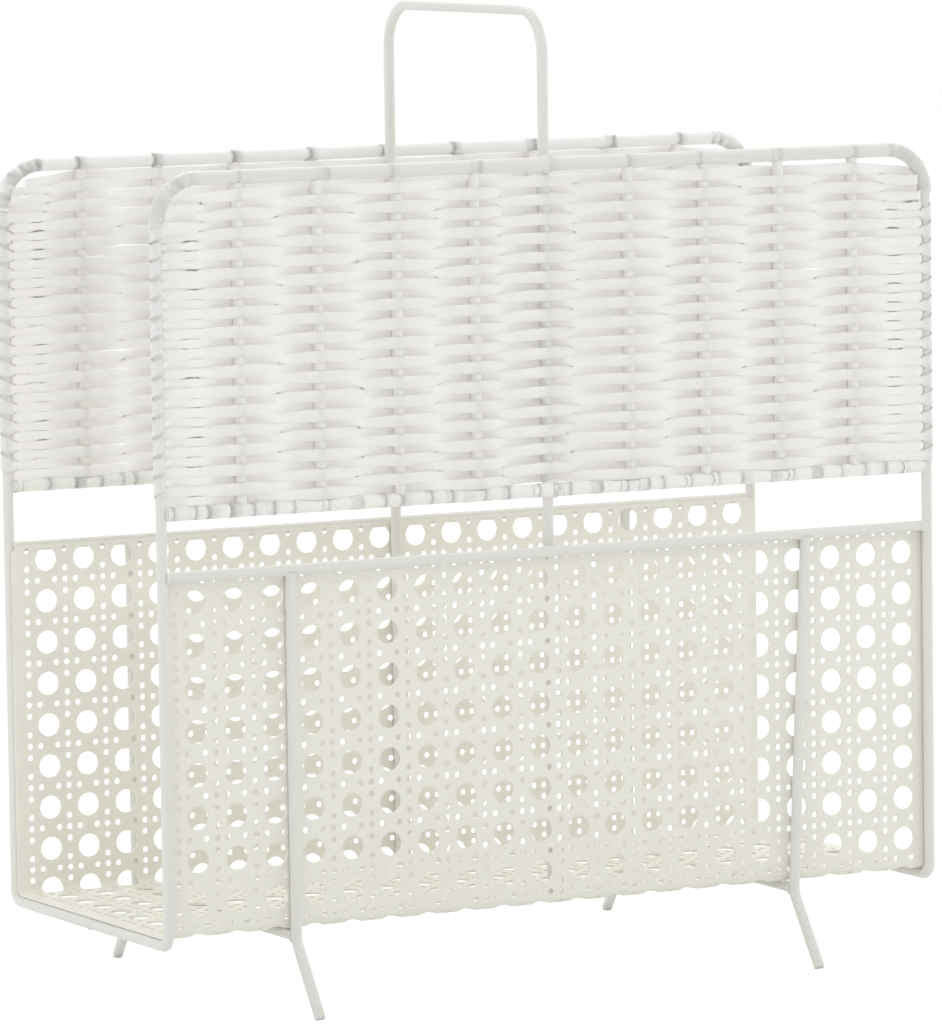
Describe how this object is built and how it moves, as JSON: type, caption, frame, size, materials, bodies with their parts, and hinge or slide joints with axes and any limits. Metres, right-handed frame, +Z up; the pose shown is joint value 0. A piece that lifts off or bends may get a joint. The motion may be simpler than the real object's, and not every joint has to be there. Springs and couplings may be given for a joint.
{
  "type": "magazine basket",
  "caption": "Free-standing wire basket for magazines, with woven tape panels above, a folded pocket of perforated sheet below, a tall carrying handle and splayed wire feet.",
  "frame": {"origin": "on the floor, under the middle of the basket", "axes": "+X along the basket's width, to the right seen from the front; +Y from the front panel to the rear one; +Z up"},
  "size_m": [0.4076, 0.216, 0.4528],
  "materials": {
    "coated_wire": "warm white powder coat, satin",
    "coated_sheet": "warm white powder coat on perforated sheet, satin",
    "woven_tape": "flat white weaving tape, soft sheen"
  },
  "bodies": {
    "root": {"front_hoop": "coated_wire", "front_stake_1": "coated_wire", "front_stake_2": "coated_wire", "front_stake_3": "coated_wire", "front_stake_4": "coated_wire", "front_stake_5": "coated_wire", "front_stake_6": "coated_wire", "front_stake_7": "coated_wire", "front_stake_8": "coated_wire", "front_weave_rail": "coated_wire", "front_pocket_rail": "coated_wire", "front_woven_tape": "woven_tape", "front_rim_binding": "woven_tape", "front_lower_binding": "woven_tape", "rear_hoop": "coated_wire", "rear_stake_1": "coated_wire", "rear_stake_2": "coated_wire", "rear_stake_3": "coated_wire", "rear_stake_4": "coated_wire", "rear_stake_5": "coated_wire", "rear_stake_6": "coated_wire", "rear_stake_7": "coated_wire", "rear_stake_8": "coated_wire", "rear_weave_rail": "coated_wire", "rear_pocket_rail": "coated_wire", "rear_woven_tape": "woven_tape", "rear_rim_binding": "woven_tape", "rear_lower_binding": "woven_tape", "carry_handle": "coated_wire", "pocket_front_wall": "coated_sheet", "pocket_rear_wall": "coated_sheet", "pocket_floor": "coated_sheet", "front_left_leg": "coated_wire", "front_right_leg": "coated_wire", "rear_left_leg": "coated_wire", "rear_right_leg": "coated_wire", "left_cross_bar": "coated_wire", "right_cross_bar": "coated_wire"}
  },
  "joints": []
}
